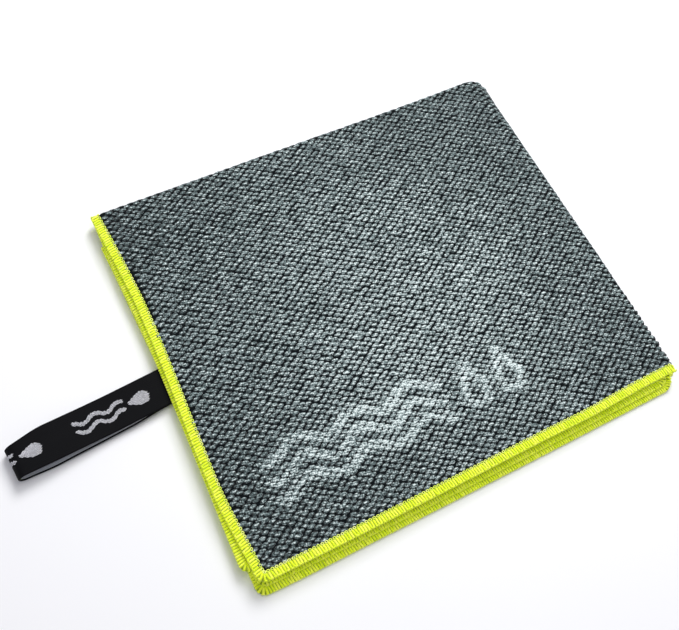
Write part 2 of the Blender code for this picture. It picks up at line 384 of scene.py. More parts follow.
def makeGrainTree():  # grains set out in rows on a cloth, every other row shifted by half
    tree, given, result = newTree("grainsOnCloth", [
        ("Grain", "Object"), ("Motif", "Object"), ("Columns", "Int"), ("Rows", "Int"),
        ("Pitch Along", "Float"), ("Pitch Across", "Float"), ("First", "Vector"),
        ("Grain Size", "Vector"), ("Size Jitter", "Float"), ("Place Jitter", "Float"),
        ("Turn", "Float"), ("Turn Jitter", "Float"), ("Motif Reach", "Float"),
        ("Motif Grain", "Vector"), ("Motif Only", "Bool"), ("Panel Corner", "Vector"),
        ("Seed", "Int"), ("Finish", "Material")])
    position = addNode(tree, "GeometryNodeInputPosition")
    read = {name: addNode(tree, "GeometryNodeInputNamedAttribute", {
        "data_type": "FLOAT_VECTOR", "Name": name}) for name in ("flatPlace", "outFrom", "along", "spot")}
    # a flat grid of spots, shifted by rows and a little at random
    gapsX = addNode(tree, mathKind, {"operation": "SUBTRACT"}, {0: given["Columns"], 1: 1})
    gapsY = addNode(tree, mathKind, {"operation": "SUBTRACT"}, {0: given["Rows"], 1: 1})
    spanX = addNode(tree, mathKind, {"operation": "MULTIPLY"}, {0: gapsX, 1: given["Pitch Along"]})
    spanY = addNode(tree, mathKind, {"operation": "MULTIPLY"}, {0: gapsY, 1: given["Pitch Across"]})
    grid = addNode(tree, "GeometryNodeMeshGrid", None, {
        "Size X": spanX, "Size Y": spanY, "Vertices X": given["Columns"], "Vertices Y": given["Rows"]})
    split = addNode(tree, "ShaderNodeSeparateXYZ", None, {0: position}).outputs
    fromLeft = addNode(tree, mathKind, {"operation": "MULTIPLY_ADD", 1: 0.5}, {0: spanX, 2: split["X"]})
    fromLow = addNode(tree, mathKind, {"operation": "MULTIPLY_ADD", 1: 0.5}, {0: spanY, 2: split["Y"]})
    rowPlace = addNode(tree, mathKind, {"operation": "DIVIDE"}, {0: fromLow, 1: given["Pitch Across"]})
    row = addNode(tree, mathKind, {"operation": "ROUND"}, {0: rowPlace})
    odd = addNode(tree, mathKind, {"operation": "MODULO", 1: 2.0}, {0: row})
    halfOdd = addNode(tree, mathKind, {"operation": "MULTIPLY", 1: 0.5}, {0: odd})
    stagger = addNode(tree, mathKind, {"operation": "MULTIPLY"}, {0: halfOdd, 1: given["Pitch Along"]})
    first = addNode(tree, "ShaderNodeSeparateXYZ", None, {0: given["First"]}).outputs
    startX = addNode(tree, mathKind, {"operation": "ADD"}, {0: first["X"], 1: stagger})
    flatX = addNode(tree, mathKind, {"operation": "ADD"}, {0: fromLeft, 1: startX})
    flatY = addNode(tree, mathKind, {"operation": "ADD"}, {0: fromLow, 1: first["Y"]})
    flat = addNode(tree, "ShaderNodeCombineXYZ", None, {"X": flatX, "Y": flatY})
    jitter = addNode(tree, "FunctionNodeRandomValue", {
        "data_type": "FLOAT_VECTOR", "Min": (-1, -1, 0), "Max": (1, 1, 0)}, {"Seed": given["Seed"]})
    shifts = addNode(tree, vectorKind, {"operation": "SCALE"}, {0: jitter, "Scale": given["Place Jitter"]})
    moved = addNode(tree, vectorKind, {"operation": "ADD"}, {0: flat, 1: shifts})
    spots = addNode(tree, "GeometryNodeStoreNamedAttribute", {
        "data_type": "FLOAT_VECTOR", "domain": "POINT", "Name": "spot"}, {"Geometry": grid, "Value": moved})
    # each spot's place and directions on the cloth
    onCloth = {}
    for label, value in (("where", position), ("facing", read["outFrom"]), ("heading", read["along"])):
        onCloth[label] = addNode(tree, "GeometryNodeSampleUVSurface", {"data_type": "FLOAT_VECTOR"}, {
            "Mesh": given["Geometry"], "Value": value, "UV Map": read["flatPlace"],
            "Sample UV": read["spot"]}).outputs
    axes = addNode(tree, "FunctionNodeAxesToRotation", {"primary_axis": "Z", "secondary_axis": "X"}, {
        0: onCloth["facing"]["Value"], 1: onCloth["heading"]["Value"]})
    turnBy, sizeBy = (addNode(tree, "FunctionNodeRandomValue", {
        "data_type": "FLOAT", "Min": -1.0, "Max": 1.0, "Seed": seed}).outputs[1] for seed in (7, 3))
    angle = addNode(tree, mathKind, {"operation": "MULTIPLY_ADD"}, {
        0: turnBy, 1: given["Turn Jitter"], 2: given["Turn"]})
    spin = addNode(tree, "FunctionNodeAxisAngleToRotation", {"Axis": (0, 0, 1)}, {"Angle": angle})
    turned = addNode(tree, "FunctionNodeRotateRotation", {"rotation_space": "LOCAL"}, {0: axes, 1: spin})
    # grains on the motif take their own size, or are the only ones
    motif, grain = (addNode(tree, "GeometryNodeObjectInfo", {"transform_space": "ORIGINAL"}, {
        "Object": given[name]}).outputs["Geometry"] for name in ("Motif", "Grain"))
    reach = addNode(tree, "GeometryNodeProximity", {"target_element": "EDGES"}, {
        0: motif, "Sample Position": read["spot"]}).outputs["Distance"]
    inMotif = addNode(tree, mathKind, {"operation": "LESS_THAN"}, {0: reach, 1: given["Motif Reach"]})
    size = addNode(tree, mathKind, {"operation": "MULTIPLY_ADD", 2: 1.0}, {
        0: sizeBy, 1: given["Size Jitter"]})
    grown = addNode(tree, vectorKind, {"operation": "SCALE"}, {0: given["Grain Size"], "Scale": size})
    motifSize = addNode(tree, "ShaderNodeMix", {"data_type": "VECTOR", 4: (1, 1, 1)}, {
        0: inMotif, 5: given["Motif Grain"]}).outputs[1]
    scale = addNode(tree, vectorKind, {"operation": "MULTIPLY"}, {0: grown, 1: motifSize})
    anywhere = addNode(tree, "FunctionNodeBooleanMath", {"operation": "NOT"}, {0: given["Motif Only"]})
    allowed = addNode(tree, "FunctionNodeBooleanMath", {"operation": "OR"}, {0: anywhere, 1: inMotif})
    wanted = addNode(tree, "FunctionNodeBooleanMath", {"operation": "AND"}, {
        0: allowed, 1: onCloth["where"]["Is Valid"]})
    placed = addNode(tree, "GeometryNodeSetPosition", None, {
        "Geometry": spots, "Position": onCloth["where"]["Value"]})
    setOut = addNode(tree, "GeometryNodeInstanceOnPoints", None, {
        "Points": placed, "Selection": wanted, "Instance": grain, "Rotation": turned, "Scale": scale})
    toneBy = addNode(tree, "FunctionNodeRandomValue", {
        "data_type": "FLOAT", "Min": 0.0, "Max": 1.0, "Seed": 11}).outputs[1]
    toned = addNode(tree, "GeometryNodeStoreNamedAttribute", {
        "data_type": "FLOAT", "domain": "INSTANCE", "Name": "tone"}, {"Geometry": setOut, "Value": toneBy})
    real = addNode(tree, "GeometryNodeRealizeInstances", None, {"Geometry": toned})
    # the mark's own edge is read point by point, finer than a whole lump
    onPanel = addNode(tree, vectorKind, {"operation": "SUBTRACT"}, {0: position, 1: given["Panel Corner"]})
    flatOnly = addNode(tree, vectorKind, {"operation": "MULTIPLY", 1: (1, 1, 0)}, {0: onPanel})
    away = addNode(tree, "GeometryNodeProximity", {"target_element": "EDGES"}, {
        0: motif, "Sample Position": flatOnly}).outputs["Distance"]
    past = addNode(tree, mathKind, {"operation": "DIVIDE"}, {0: away, 1: given["Motif Reach"]})
    printed = addNode(tree, "ShaderNodeMapRange", {
        "interpolation_type": "SMOOTHSTEP", "From Min": 0.72, "From Max": 1.28,
        "To Min": 1.0, "To Max": 0.0}, {"Value": past})
    marked = addNode(tree, "GeometryNodeStoreNamedAttribute", {
        "data_type": "FLOAT", "domain": "POINT", "Name": "printed"}, {"Geometry": real, "Value": printed})
    finish = addNode(tree, "GeometryNodeSetMaterial", None, {
        "Geometry": marked, "Material": given["Finish"]})
    tree.links.new(finish.outputs[0], result.inputs[0])
    return tree


def makeStitchTree():  # stitches set out along an edge
    tree, given, result = newTree("stitchesOnEdge", [
        ("Stitch", "Object"), ("Pitch", "Float"), ("Size Jitter", "Float"), ("Turn Jitter", "Float"),
        ("Seed", "Int"), ("Finish", "Material")])
    curve = addNode(tree, "GeometryNodeMeshToCurve", None, {"Mesh": given["Geometry"]})
    spaced = addNode(tree, "GeometryNodeResampleCurve", {"mode": "LENGTH"}, {
        "Curve": curve, "Length": given["Pitch"]})
    facing, heading = (addNode(tree, "GeometryNodeInputNamedAttribute", {
        "data_type": "FLOAT_VECTOR", "Name": name}) for name in ("outFrom", "outward"))
    axes = addNode(tree, "FunctionNodeAxesToRotation", {"primary_axis": "Z", "secondary_axis": "X"}, {
        0: facing, 1: heading})
    turnBy = addNode(tree, "FunctionNodeRandomValue", {"data_type": "FLOAT", "Min": -1.0, "Max": 1.0}, {
        "Seed": given["Seed"]}).outputs[1]
    angle = addNode(tree, mathKind, {"operation": "MULTIPLY"}, {0: turnBy, 1: given["Turn Jitter"]})
    spin = addNode(tree, "FunctionNodeAxisAngleToRotation", {"Axis": (0, 0, 1)}, {"Angle": angle})
    turned = addNode(tree, "FunctionNodeRotateRotation", {"rotation_space": "LOCAL"}, {0: axes, 1: spin})
    sizeBy = addNode(tree, "FunctionNodeRandomValue", {
        "data_type": "FLOAT", "Min": -1.0, "Max": 1.0, "Seed": 5}).outputs[1]
    size = addNode(tree, mathKind, {"operation": "MULTIPLY_ADD", 2: 1.0}, {
        0: sizeBy, 1: given["Size Jitter"]})
    scale = addNode(tree, "ShaderNodeCombineXYZ", {"X": 1.0}, {"Y": size, "Z": size})
    stitch = addNode(tree, "GeometryNodeObjectInfo", {"transform_space": "ORIGINAL"}, {
        "Object": given["Stitch"]}).outputs["Geometry"]
    setOut = addNode(tree, "GeometryNodeInstanceOnPoints", None, {
        "Points": spaced, "Instance": stitch, "Rotation": turned, "Scale": scale})
    toneBy = addNode(tree, "FunctionNodeRandomValue", {
        "data_type": "FLOAT", "Min": 0.0, "Max": 1.0}).outputs[1]
    toned = addNode(tree, "GeometryNodeStoreNamedAttribute", {
        "data_type": "FLOAT", "domain": "INSTANCE", "Name": "tone"}, {"Geometry": setOut, "Value": toneBy})
    real = addNode(tree, "GeometryNodeRealizeInstances", None, {"Geometry": toned})
    finish = addNode(tree, "GeometryNodeSetMaterial", None, {"Geometry": real, "Material": given["Finish"]})
    tree.links.new(finish.outputs[0], result.inputs[0])
    return tree


def growOn(carrier, tree, values, name):  # runs a tree on a carrier and keeps the plain mesh
    modifier = carrier.modifiers.new("grow", "NODES")
    modifier.node_group = tree
    for item in tree.interface.items_tree:
        if item.in_out == "INPUT" and item.name in values:
            modifier[item.identifier] = values[item.name]
    bpy.context.view_layer.update()
    evaluated = carrier.evaluated_get(bpy.context.evaluated_depsgraph_get())
    mesh = bpy.data.meshes.new_from_object(evaluated)
    carrier.modifiers.remove(modifier)
    mesh.name = name
    mesh.shade_smooth()
    made = bpy.data.objects.new(name, mesh)
    bpy.context.scene.collection.objects.link(made)
    return made


def restOnFloor(piece):  # what would sink below the floor is pressed flat against it
    places = np.empty(len(piece.data.vertices) * 3, np.float32)
    piece.data.vertices.foreach_get("co", places)
    places[2::3] = np.maximum(places[2::3], 0.02 * mm)
    piece.data.vertices.foreach_set("co", places)
    piece.data.update()


def drop(*objects):
    for item in objects:
        data = item.data
        bpy.data.objects.remove(item)
        bpy.data.meshes.remove(data)


grainTree = makeGrainTree()
stitchTree = makeStitchTree()

print("towel: materials")


def newMaterial(name, shaderValues):
    material = bpy.data.materials.new(name)
    material.use_nodes = True
    tree = material.node_tree
    shader = tree.nodes["Principled BSDF"]
    for label, value in shaderValues.items():
        shader.inputs[label].default_value = value
    return material, tree, shader


def showPattern(tree, shader, level, stops, strength, depth, height=None):  # as colour and as relief
    colour = addNode(tree, "ShaderNodeValToRGB", {"stops": stops}, {"Fac": level})
    bump = addNode(tree, "ShaderNodeBump", {"Strength": strength, "Distance": depth}, {
        "Height": height or level})
    tree.links.new(colour.outputs[0], shader.inputs["Base Color"])
    tree.links.new(bump.outputs[0], shader.inputs["Normal"])


knitTone = {
    "ramp": [(0.25, "#091012"), (0.46, "#435253"), (0.63, "#7F9090"), (0.83, "#E4F0EE")],
    "paintedLightCentre": (0.045, -0.012, 0.0093),  # painted light: the knit is paler round this point near the middle of the top, darker towards its edges
    "paintedLightStep": 0.085, "paintedLightFrom": 0.03, "paintedLightTo": 0.175,
    "base": -0.755, "pliesAndGlints": 0.22, "fluff": 1.30, "lump": 0.09, "cast": 0.10,
    "printed": 0.11, "crown": 0.56,         # painted shade: the feet of the lumps darker than their tops
}


def makeKnitMaterial():
    # microfibre warp knit: fine split fibres, so a soft matt face; the pale strokes on the yarn are its
    # plies with painted glints
    material, tree, shader = newMaterial("microfibreKnit", {
        "Roughness": 0.82, "Specular IOR Level": 0.35, "Sheen Weight": 0.25, "Sheen Roughness": 0.5})
    place = addNode(tree, "ShaderNodeTexCoord").outputs["Object"]
    slant = addNode(tree, "ShaderNodeMapping", {"Rotation": (0, 0, math.radians(-75))}, {"Vector": place})
    # real filaments are far under 0.1 mm: drawn as plies of about 1.4 mm so that they show
    pliesAndGlints = addNode(tree, "ShaderNodeTexWave", {
        "Scale": 230.0, "Distortion": 5.0, "Detail": 2.0, "Detail Scale": 2.0}, {"Vector": slant})
    fluff = addNode(tree, "ShaderNodeTexNoise", {"Scale": 1300.0, "Detail": 3.0}, {"Vector": place})
    cast = addNode(tree, "ShaderNodeTexNoise", {"Scale": 14.0, "Detail": 2.0}, {"Vector": place})
    tone, printed, crown = (addNode(tree, "ShaderNodeAttribute", {"attribute_name": name}).outputs["Fac"]
                            for name in ("tone", "printed", "crown"))
    # painted light: paler near the middle of the stack, darker further out
    middle = addNode(tree, vectorKind, {"operation": "DISTANCE", 1: knitTone["paintedLightCentre"]}, {
        0: place}).outputs["Value"]
    paintedLight = addNode(tree, "ShaderNodeMapRange", {
        "From Min": knitTone["paintedLightFrom"], "From Max": knitTone["paintedLightTo"],
        "To Min": knitTone["paintedLightStep"], "To Max": -knitTone["paintedLightStep"]}, {"Value": middle})
    level = addNode(tree, mathKind, {"operation": "ADD", 1: knitTone["base"]}, {0: paintedLight})
    for share, part in (("pliesAndGlints", pliesAndGlints.outputs["Fac"]), ("fluff", fluff.outputs["Fac"]), ("lump", tone),
                        ("cast", cast.outputs["Fac"]), ("printed", printed), ("crown", crown)):
        level = addNode(tree, mathKind, {"operation": "MULTIPLY_ADD", 1: knitTone[share]}, {
            0: part, 2: level})
    showPattern(tree, shader, level, knitTone["ramp"], 0.55, 0.25 * mm)
    return material


def makeGroundMaterial():
    # the same knit seen down between its lumps, coloured almost black: painted deep shade
    material, tree, shader = newMaterial("knitGround", {"Roughness": 0.95, "Specular IOR Level": 0.1})
    place = addNode(tree, "ShaderNodeTexCoord").outputs["Object"]
    mesh = addNode(tree, "ShaderNodeTexVoronoi", {"Scale": 1100.0}, {"Vector": place}).outputs["Distance"]
    showPattern(tree, shader, mesh, [(0.1, "#04080A"), (0.7, "#0D1417")], 0.5, 0.2 * mm)
    return material


def makeThreadMaterial(name, dark, middle, light, twist, paintedGlow=0.0):
    # textured polyester overlock thread: soft and full; the neon dye is given a glow of painted light,
    # so that even the shaded hems stay bright
    material, tree, shader = newMaterial(name, {
        "Roughness": 0.6, "Emission Color": linearColour(middle), "Emission Strength": paintedGlow,
        "Sheen Weight": 0.2, "Specular IOR Level": 0.3})
    place = addNode(tree, "ShaderNodeTexCoord").outputs["Object"]
    strands = addNode(tree, "ShaderNodeTexNoise", {"Scale": twist, "Detail": 2.0}, {
        "Vector": place}).outputs["Fac"]
    tone = addNode(tree, "ShaderNodeAttribute", {"attribute_name": "tone"}).outputs["Fac"]
    level = addNode(tree, mathKind, {"operation": "MULTIPLY", 1: 0.70}, {0: strands})
    level = addNode(tree, mathKind, {"operation": "MULTIPLY_ADD", 1: 0.32}, {0: tone, 2: level})
    showPattern(tree, shader, level, [(0.25, dark), (0.5, middle), (0.72, light)], 0.45, 0.2 * mm, strands)
    return material


def makeElasticMaterial(name, dark, light):
    # woven elastic: covered rubber cords lie along it, crossed by fine weft, with little shine
    material, tree, shader = newMaterial(name, {
        "Roughness": 0.75, "Sheen Weight": 0.01, "Specular IOR Level": 0.13})
    flat = addNode(tree, "ShaderNodeAttribute", {"attribute_name": "flatPlace"}).outputs["Vector"]
    weft, warp = (addNode(tree, "ShaderNodeTexWave", {
        "bands_direction": axis, "Scale": scale, "Distortion": crinkle}, {"Vector": flat}).outputs["Fac"]
        for axis, scale, crinkle in (("X", 560.0, 1.2), ("Y", 340.0, 0.4)))
    specks = addNode(tree, "ShaderNodeTexNoise", {"Scale": 1300.0, "Detail": 2.0}, {"Vector": flat})
    level = addNode(tree, mathKind, {"operation": "MULTIPLY"}, {0: weft, 1: warp})
    level = addNode(tree, mathKind, {"operation": "MULTIPLY", 1: 0.6}, {0: level})
    level = addNode(tree, mathKind, {"operation": "MULTIPLY_ADD", 1: 0.5}, {0: specks, 2: level})
    showPattern(tree, shader, level, [(0.2, dark), (0.9, light)], 0.5, 0.15 * mm)
    return material


knitLook = makeKnitMaterial()
groundLook = makeGroundMaterial()
# painted light: the outer threads glow a little, so that the shaded hems stay bright
threadLook = makeThreadMaterial("limeOverlockThread", "#CBE400", "#EEFF20", "#FAFF60", 1500.0, 0.10)
# painted highlight: the needle thread's chain is drawn paler than the wraps
chainLook = makeThreadMaterial("limeChainThreadPaintedHighlight", "#D2EC30", "#EBFB62", "#FBFFA8", 1500.0, 0.10)
# painted shade: the hem's core is a darker copy of the lime thread, seen between the wraps
threadCoreLook = makeThreadMaterial("limeThreadInShade", "#869C00", "#A9C200", "#C4DC00", 1200.0)
elasticLook = makeElasticMaterial("blackWovenElastic", "#020204", "#0B0C11")
elasticBackLook = makeElasticMaterial("greyElasticReverse", "#A9ACB2", "#E4E6EB")
floatLook = makeThreadMaterial("whiteJacquardYarn", "#CFCFD8", "#EAEAF0", "#F8F8FC", 1800.0)
tackLook = makeThreadMaterial("blackTackThread", "#0D0E12", "#191B21", "#2B2E36", 1500.0)

print("towel: folded cloth")


def ringSection(width, height, corner, count):  # a rounded oblong, as (out, up) pairs
    ring = []
    for k in range(count):
        angle = 2 * math.pi * (k + 0.5) / count
        c, s = math.cos(angle), math.sin(angle)
        reach = 1 / (abs(c) ** corner + abs(s) ** corner) ** (1 / corner)
        ring.append((width / 2 * reach * c, height / 2 * reach * s))
    return ring


def tubeFaces(rings, around, closed):  # walls between rings of points; closed joins the last to the first
    faces = []
    for j in range(rings if closed else rings - 1):
        here, there = j * around, (j + 1) % rings * around
        for i in range(around):
            after = (i + 1) % around
            faces.append((here + i, here + after, there + after, there + i))
    return faces


def makeGrain(name, exponent, sides=8):  # one knit lump: a low rounded brick, closed below
    vertices = []
    for radius, height in ((1.0, -0.25), (0.83, 0.66)):
        vertices += [(x, y, height) for x, y in ringSection(radius, radius, exponent, sides)]
    vertices.append((0, 0, 1.0))
    faces = tubeFaces(2, sides, False)
    faces += [(sides + k, sides + (k + 1) % sides, 2 * sides) for k in range(sides)]
    faces.append(tuple(range(sides - 1, -1, -1)))
    made = meshObject(name, vertices, faces)
    layer = made.data.attributes.new("crown", "FLOAT", "POINT")  # how far up the lump, for the painted shade at its feet
    layer.data.foreach_set("value", [max(0.0, v[2]) for v in vertices])
    return made


def motifLines(name, lines):  # open or closed lines in flat metres, for the mark to follow
    vertices = []
    edges = []
    for line in lines:
        start = len(vertices)
        vertices += [(x * mm, y * mm, 0) for x, y in line]
        edges += [(start + k, start + k + 1) for k in range(len(line) - 1)]
    return meshObject(name, vertices, [], edges)


def waveLine(x0, x1, y, height, length, steps=60):
    places = [lerp(x0, x1, k / steps) for k in range(steps + 1)]
    return [(x, y + height * math.sin(2 * math.pi * x / length)) for x in places]


def dropLine(cx, cy, size, steps=28):  # a plain water drop, point upwards
    line = []
    for k in range(steps + 1):
        t = 2 * math.pi * k / steps
        line.append((cx + math.sin(t) * math.sin(t / 2) ** 1.6 * size * 0.80, cy + math.cos(t) * size))
    return line


knit = {
    "pitchAlong": 5.3, "pitchAcross": 1.76,
    "grain": (4.70, 2.56, 0.70),           # one lump's length, width and rise on the top face
    "insideRise": 0.44, "turnRise": 0.5,   # flatter between the layers and round the right fold
    "sizeJitter": 0.12, "placeJitter": 0.36, "turn": 5.0, "turnJitter": 12.0,
    "pressedGrain": (1.14, 1.26, 0.55), "pressedReach": 2.6,
    "keepOff": (5.2, 5.1),                 # from the left and front edges, where the hem lies
}
grainShape = makeGrain("knitLump", 1.85)
# the pressed mark: rows of water waves and two drops, tone on tone
markLines = motifLines("markLines", [
    waveLine(22, 122, 29, 3.4, 33), waveLine(22, 122, 39, 3.4, 33), waveLine(22, 122, 49, 3.4, 33),
    dropLine(141, 38, 11.0), dropLine(162, 38, 11.0)])
noLines = motifLines("noLines", [[(-900, -900), (-901, -900)]])


def knitOn(name, carrier, flat, mark, seed, rise):
    low = flat.reshape(-1, 2).min(0)
    high = flat.reshape(-1, 2).max(0)
    firstColumn = math.floor(low[0] / knit["pitchAlong"])
    firstRow = 2 * math.floor(low[1] / knit["pitchAcross"] / 2)
    values = {
        "Grain": grainShape, "Motif": mark,
        "Columns": int((high[0] - low[0]) / knit["pitchAlong"]) + 3,
        "Rows": int((high[1] - low[1]) / knit["pitchAcross"]) + 4,
        "Pitch Along": knit["pitchAlong"] * mm, "Pitch Across": knit["pitchAcross"] * mm,
        "First": (firstColumn * knit["pitchAlong"] * mm, firstRow * knit["pitchAcross"] * mm, 0),
        "Grain Size": (knit["grain"][0] * mm, knit["grain"][1] * mm, rise * mm),
        "Size Jitter": knit["sizeJitter"], "Place Jitter": knit["placeJitter"] * mm,
        "Turn": math.radians(knit["turn"]), "Turn Jitter": math.radians(knit["turnJitter"]),
        "Motif Reach": knit["pressedReach"] * mm, "Motif Grain": knit["pressedGrain"],
        "Motif Only": False, "Panel Corner": (stack["left"] * mm, stack["front"] * mm, 0),
        "Seed": seed, "Finish": knitLook,
    }
    made = growOn(carrier, grainTree, values, name)
    restOnFloor(made)
    print("  ", name, len(made.data.vertices), "points", len(made.data.polygons), "faces")
    return made


clothPieces = {}
knitLayers = [  # name, half, seed, which way it faces, mark, rise of its lumps
    ("knit_bottom", "lower", 1, -1, noLines, knit["insideRise"]),
    ("knit_second", "lower", 2, 1, noLines, knit["insideRise"]),
    ("knit_top", "upper", 3, 1, markLines, knit["grain"][2]),
    ("knit_third", "upper", 4, -1, noLines, knit["insideRise"]),
]
for half in ("lower", "upper"):
    points, _ = halfGrid(half, (hem["width"] / 2, hem["width"] / 2))
    clothPieces[half] = clothShell("folded_cloth_" + half, points, 1, clothHalf)
    clothPieces[half].data.materials.append(groundLook)
    points, flat = halfGrid(half, knit["keepOff"])
    middle = len(points) // 2  # the crest of the back fold
    ofHalf = [layer for layer in knitLayers if layer[1] == half]
    sides = (slice(0, middle + 1), slice(middle, None))
    for (name, _, seed, faces, mark, rise), rows in zip(ofHalf, sides):
        normal, _ = gridNormals(settle(points[rows]))
        sign = 1 if normal[len(normal) // 2, 10, 2] * faces > 0 else -1
        carrier = carrierSheet(name + "_carrier", points[rows], flat[rows], sign, clothHalf)
        clothPieces[name] = knitOn(name, carrier, flat[rows], mark, seed, rise)
        drop(carrier)
        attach(clothPieces[name], half + "_half")

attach(clothPieces["lower"], "lower_half")
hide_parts("cloth_bottom", "cloth_second", "back_fold_lower")
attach(clothPieces["upper"], "upper_half")
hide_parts("cloth_third", "cloth_top", "back_fold_upper")

print("towel: right fold")
for part in ("outer", "inner"):
    points, flat = foldGrid(part, hem["width"] / 2)
    shell = clothShell("right_fold_cloth_" + part, points, 1, clothHalf)
    shell.data.materials.append(groundLook)
    clothPieces["fold_" + part] = shell
    points, flat = foldGrid(part, knit["keepOff"][1])
    normal, _ = gridNormals(settle(points))
    sign = 1 if (normal[30, 10, 0] > 0) == (part == "outer") else -1
    carrier = carrierSheet("fold_carrier", points, flat, sign, clothHalf)
    lumps = knitOn("knit_right_" + part, carrier, flat, noLines, 5,
                   knit["turnRise"] if part == "outer" else knit["insideRise"])
    drop(carrier)
    clothPieces["knit_fold_" + part] = lumps
    for piece in (shell, lumps):
        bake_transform(piece)
    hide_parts("right_fold_" + part)

print("towel: overlocked edges")


def cornerPath(layer, back, right):
    # middle line of one layer's hem: from its back end along the left, round the corner, to the right
    half = hem["width"] / 2
    turn = hem["cornerTurn"]
    cornerY = float(frontEdges[layer](leftEdges[layer](0) + half)) + half
    cornerX = float(leftEdges[layer](cornerY)) + half
    path = []
    for y in np.linspace(back, cornerY + turn, 150):
        path.append((float(leftEdges[layer](y)) + half, y))
    joinX, joinY = path[-1]
    endX = cornerX + turn
    endY = float(frontEdges[layer](endX)) + half
    for k in range(1, 8):
        t = k / 8
        a, b, c = (1 - t) ** 2, 2 * t * (1 - t), t * t
        path.append((a * joinX + b * cornerX + c * endX, a * joinY + b * cornerY + c * endY))
    for x in np.linspace(endX, right, 170):
        path.append((x, float(frontEdges[layer](x)) + half))
    return path


def hemFrames(points, normals):  # settled places with the frames that the thread follows
    placed = settle(points)
    tangent = np.gradient(placed, axis=0)
    tangent /= np.linalg.norm(tangent, axis=-1, keepdims=True)
    normal = np.asarray(normals, float)
    normal = normal - tangent * (normal * tangent).sum(-1, keepdims=True)
    normal /= np.linalg.norm(normal, axis=-1, keepdims=True)
    return placed, tangent, normal, np.cross(tangent, normal)


def halfHem(half):
    outer, inner = ("bottom", "second") if half == "lower" else ("top", "third")
    back = stack["lowerBack"] if half == "lower" else stack["upperBack"]
    zOuter, zInner = stack["plyMiddle"][outer], stack["plyMiddle"][inner]
    up = 1 if half == "upper" else -1
    points = []
    normals = []
    innerPath = cornerPath(inner, back, stack["innerEnd"])
    outerPath = cornerPath(outer, back, stack["outerEnd"])
    for x, y in innerPath[::-1]:
        points.append((x, y, zInner))
        normals.append((0, 0, -up))
    for k in range(1, 10):
        angle = math.pi * k / 10
        x = lerp(innerPath[0][0], outerPath[0][0], k / 10)
        points.append((x, back + stack["foldRadius"] * math.sin(angle),
                       (zOuter + zInner) / 2 - (zOuter - zInner) / 2 * math.cos(angle)))
        normals.append((0, math.sin(angle), -up * math.cos(angle)))
    for x, y in outerPath:
        points.append((x, y, zOuter))
        normals.append((0, 0, up))
    if half == "lower":  # the lower half runs the other way, so that the thread keeps its hand
        points.reverse()
        normals.reverse()
    return hemFrames(points, normals)


def foldHem(part):
    zHinge = stack["height"] / 2
    low, high = ("bottom", "top") if part == "outer" else ("second", "third")
    radius = zHinge - stack["plyMiddle"][low]
    end = stack["outerEnd"]
    middle = end if part == "outer" else stack["innerEnd"]
    half = hem["width"] / 2
    points = []
    normals = []
    for angle in np.linspace(math.pi / 2, -math.pi / 2, 25):
        up = (math.sin(angle) + 1) / 2
        y = lerp(float(frontEdges[low](end)), float(frontEdges[high](end)), up) + half
        bulge = stack["innerBulge"] if part == "inner" else 1.0
        points.append((middle + radius * bulge * math.cos(angle), y, zHinge + radius * math.sin(angle)))
        normals.append((math.cos(angle), 0, math.sin(angle)))
    if part == "inner":
        points.reverse()
        normals = [(-a, -b, -c) for a, b, c in normals[::-1]]
    return hemFrames(points, normals)


def sweep(name, frames, section):
    placed, _, normal, outward = frames
    ring = np.array(section) * mm
    vertices = (placed[:, None, :] + outward[:, None, :] * ring[None, :, 0, None]
                + normal[:, None, :] * ring[None, :, 1, None]).reshape(-1, 3)
    count, around = len(placed), len(section)
    faces = tubeFaces(count, around, False)
    faces.append(tuple(range(around)))
    faces.append(tuple((count - 1) * around + i for i in range(around - 1, -1, -1)))
    made = meshObject(name, vertices, faces)
    closeNormals(made)
    return made


def makeLoop(name, width, height, spread, thick, slant):
    # one wrap of thread right round the edge, lying in the plane across it
    section = ringSection(width, height, 3.2, 14)
    sides = 4
    vertices = []
    for k, (out, up) in enumerate(section):
        before, after = section[k - 1], section[(k + 1) % len(section)]
        dx, dz = after[0] - before[0], after[1] - before[1]
        length = math.hypot(dx, dz)
        nx, nz = dz / length, -dx / length
        for i in range(sides):
            angle = 2 * math.pi * i / sides
            lift, side = thick * math.sin(angle), spread * math.cos(angle)
            vertices.append(((out + nx * lift) * mm, (side + slant * out * (1 if up > 0 else -1)) * mm,
                             (up + nz * lift) * mm))
    made = meshObject(name, vertices, tubeFaces(len(section), sides, True))
    closeNormals(made)
    return made


def makeBead(name, centre, size, hole, around=8, sides=4):  # a small thread loop, seen as a scallop
    vertices = []
    for k in range(around):
        a = 2 * math.pi * k / around
        for i in range(sides):
            b = 2 * math.pi * i / sides
            reach = 1 - hole + hole * math.cos(b)
            vertices.append(((centre[0] + size[0] / 2 * reach * math.cos(a)) * mm,
                             size[1] / 2 * reach * math.sin(a) * mm,
                             (centre[1] + size[2] / 2 * math.sin(b)) * mm))
    made = meshObject(name, vertices, tubeFaces(around, sides, True))
    closeNormals(made)
    return made


thread = {
    "pitch": 1.45, "spread": 0.66, "thick": 0.32, "slant": 0.16, "sizeJitter": 0.06, "turnJitter": 5.0,
}
loopShape = makeLoop("threadWrap", hem["width"] - 0.5, hem["height"] - 0.45, thread["spread"],
                     thread["thick"], thread["slant"])
chainShape = makeBead("threadChain", (-2.2, 1.05), (1.5, 2.1, 0.55), 0.30)
edgeShape = makeBead("threadKnot", (1.75, 0.98), (0.9, 1.3, 0.5), 0.40)


def pathMesh(name, frames):
    placed, _, normal, outward = frames
    made = meshObject(name, placed, [], [(k, k + 1) for k in range(len(placed) - 1)])
    addVectors(made.data, "outFrom", normal)
    addVectors(made.data, "outward", outward)
    return made


